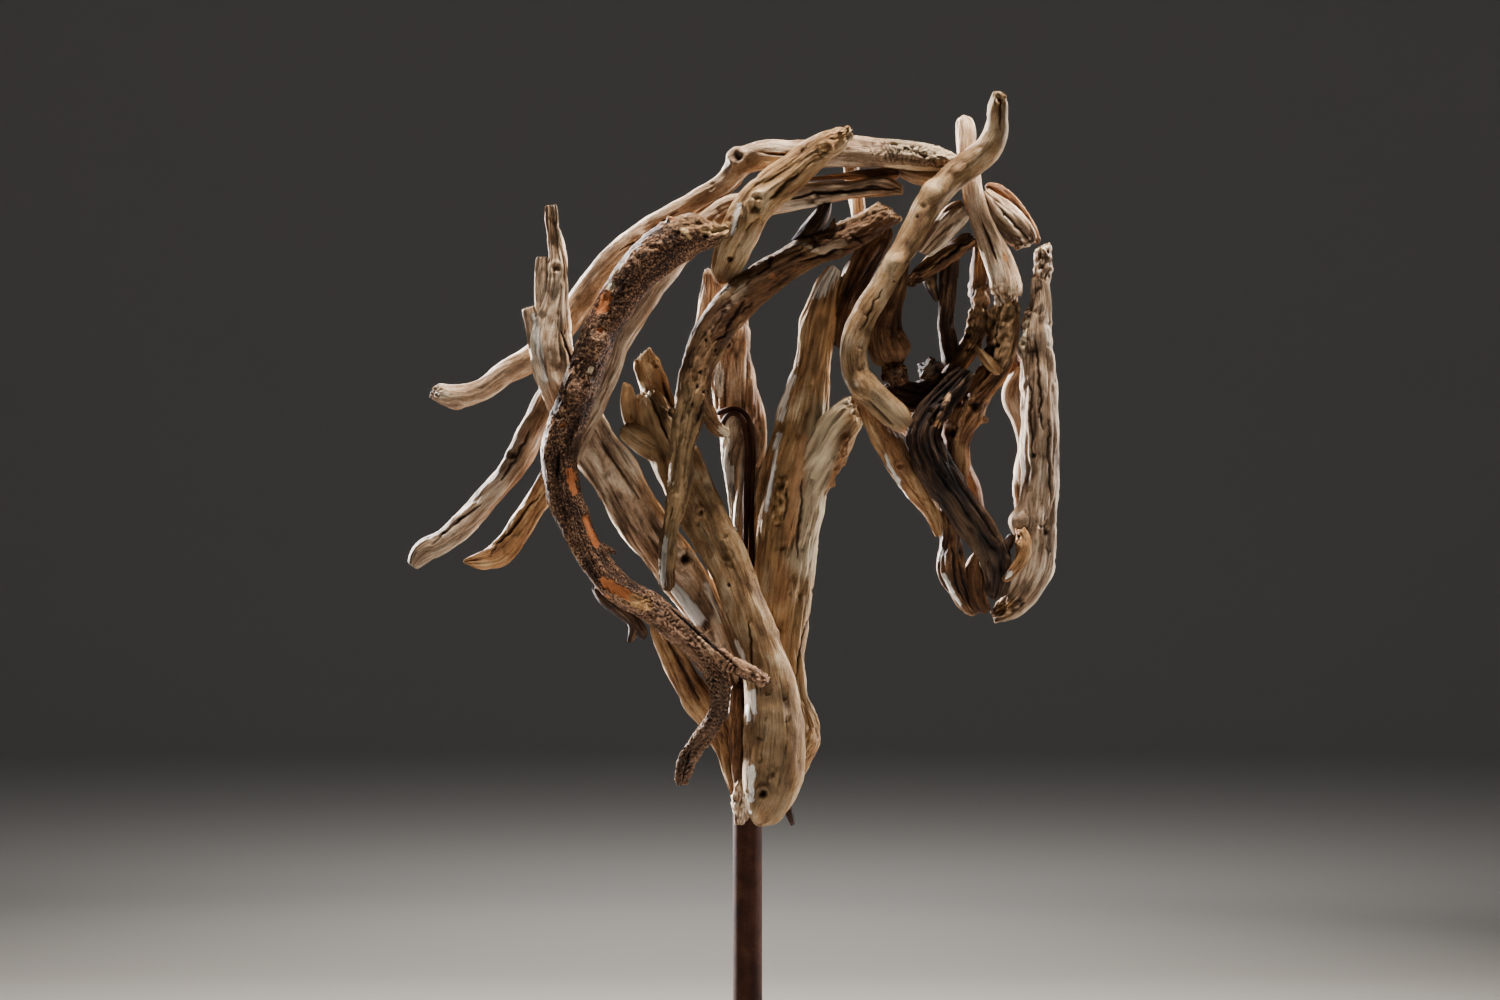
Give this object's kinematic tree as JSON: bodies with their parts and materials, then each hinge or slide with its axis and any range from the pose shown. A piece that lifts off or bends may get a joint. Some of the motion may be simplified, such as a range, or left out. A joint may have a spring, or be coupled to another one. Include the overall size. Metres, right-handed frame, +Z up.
{
  "type": "driftwood horse head sculpture",
  "caption": "Horse's head and arched neck of driftwood branches, logs and split planks laid over each other round a rusted steel post on a flat steel plate.",
  "frame": {"origin": "under the stand's plate, on the post's axis", "axes": "+Z up along the post, +X the way the horse faces, -Y the near side that the picture shows"},
  "size_m": [0.9432, 0.36, 1.4974],
  "materials": {
    "pale_driftwood": "smooth, bleached by sun and sea",
    "silver_driftwood": "weathered grey, grooved along the grain",
    "tan_driftwood": "warm tan, worn and cracked",
    "brown_driftwood": "brown, with pale worn patches",
    "dark_driftwood": "dark brown, rough",
    "bark": "fibrous dark bark with orange inner bark showing",
    "rusted_steel": "steel with an even dark rust"
  },
  "bodies": {
    "root": {"stand_plate": "rusted_steel", "stand_post": "rusted_steel", "hook_rod_near": "rusted_steel", "hook_rod_far": "rusted_steel", "front_log": "pale_driftwood", "throat_log": "tan_driftwood", "centre_post": "silver_driftwood", "grey_plank": "silver_driftwood", "bark_branch": "bark", "mottled_branch": "brown_driftwood", "knotty_branch": "pale_driftwood", "crest_branch": "pale_driftwood", "under_crest_branch": "tan_driftwood", "upper_mane_strand": "silver_driftwood", "lower_mane_strand": "tan_driftwood", "ear_cheek_branch": "pale_driftwood", "far_ear_branch": "silver_driftwood", "throat_branch": "dark_driftwood", "poll_dark_stick": "dark_driftwood", "poll_wedge": "tan_driftwood", "far_poll_stick": "silver_driftwood", "crest_twig": "dark_driftwood", "forehead_slab": "silver_driftwood", "back_forehead_stick": "brown_driftwood", "brow_stub": "brown_driftwood", "nose_log": "tan_driftwood", "nostril_stick": "tan_driftwood", "temple_root": "brown_driftwood", "upper_brow_stick": "silver_driftwood", "lower_brow_stick": "brown_driftwood", "eye_front_stick": "dark_driftwood", "eye_back_stick": "dark_driftwood", "jaw_branch": "dark_driftwood", "under_jaw_stick": "tan_driftwood", "chin_branch": "brown_driftwood", "mouth_wedge": "brown_driftwood", "cheek_plank": "brown_driftwood", "cheek_stub": "brown_driftwood", "inner_cheek_plank": "dark_driftwood", "eye_stub": "brown_driftwood", "eye_splinter": "tan_driftwood", "lower_plank": "brown_driftwood", "post_side_stick": "brown_driftwood", "heel_splint": "silver_driftwood", "heel_peg": "dark_driftwood", "broken_peg": "silver_driftwood", "under_twig": "dark_driftwood", "far_neck_log": "tan_driftwood", "far_throat_log": "silver_driftwood", "far_brace": "brown_driftwood", "far_bow": "tan_driftwood", "far_crest_stick": "tan_driftwood", "far_cheek_branch": "silver_driftwood", "far_jaw_branch": "brown_driftwood", "far_brow_branch": "brown_driftwood", "far_nose_branch": "silver_driftwood"}
  },
  "joints": []
}
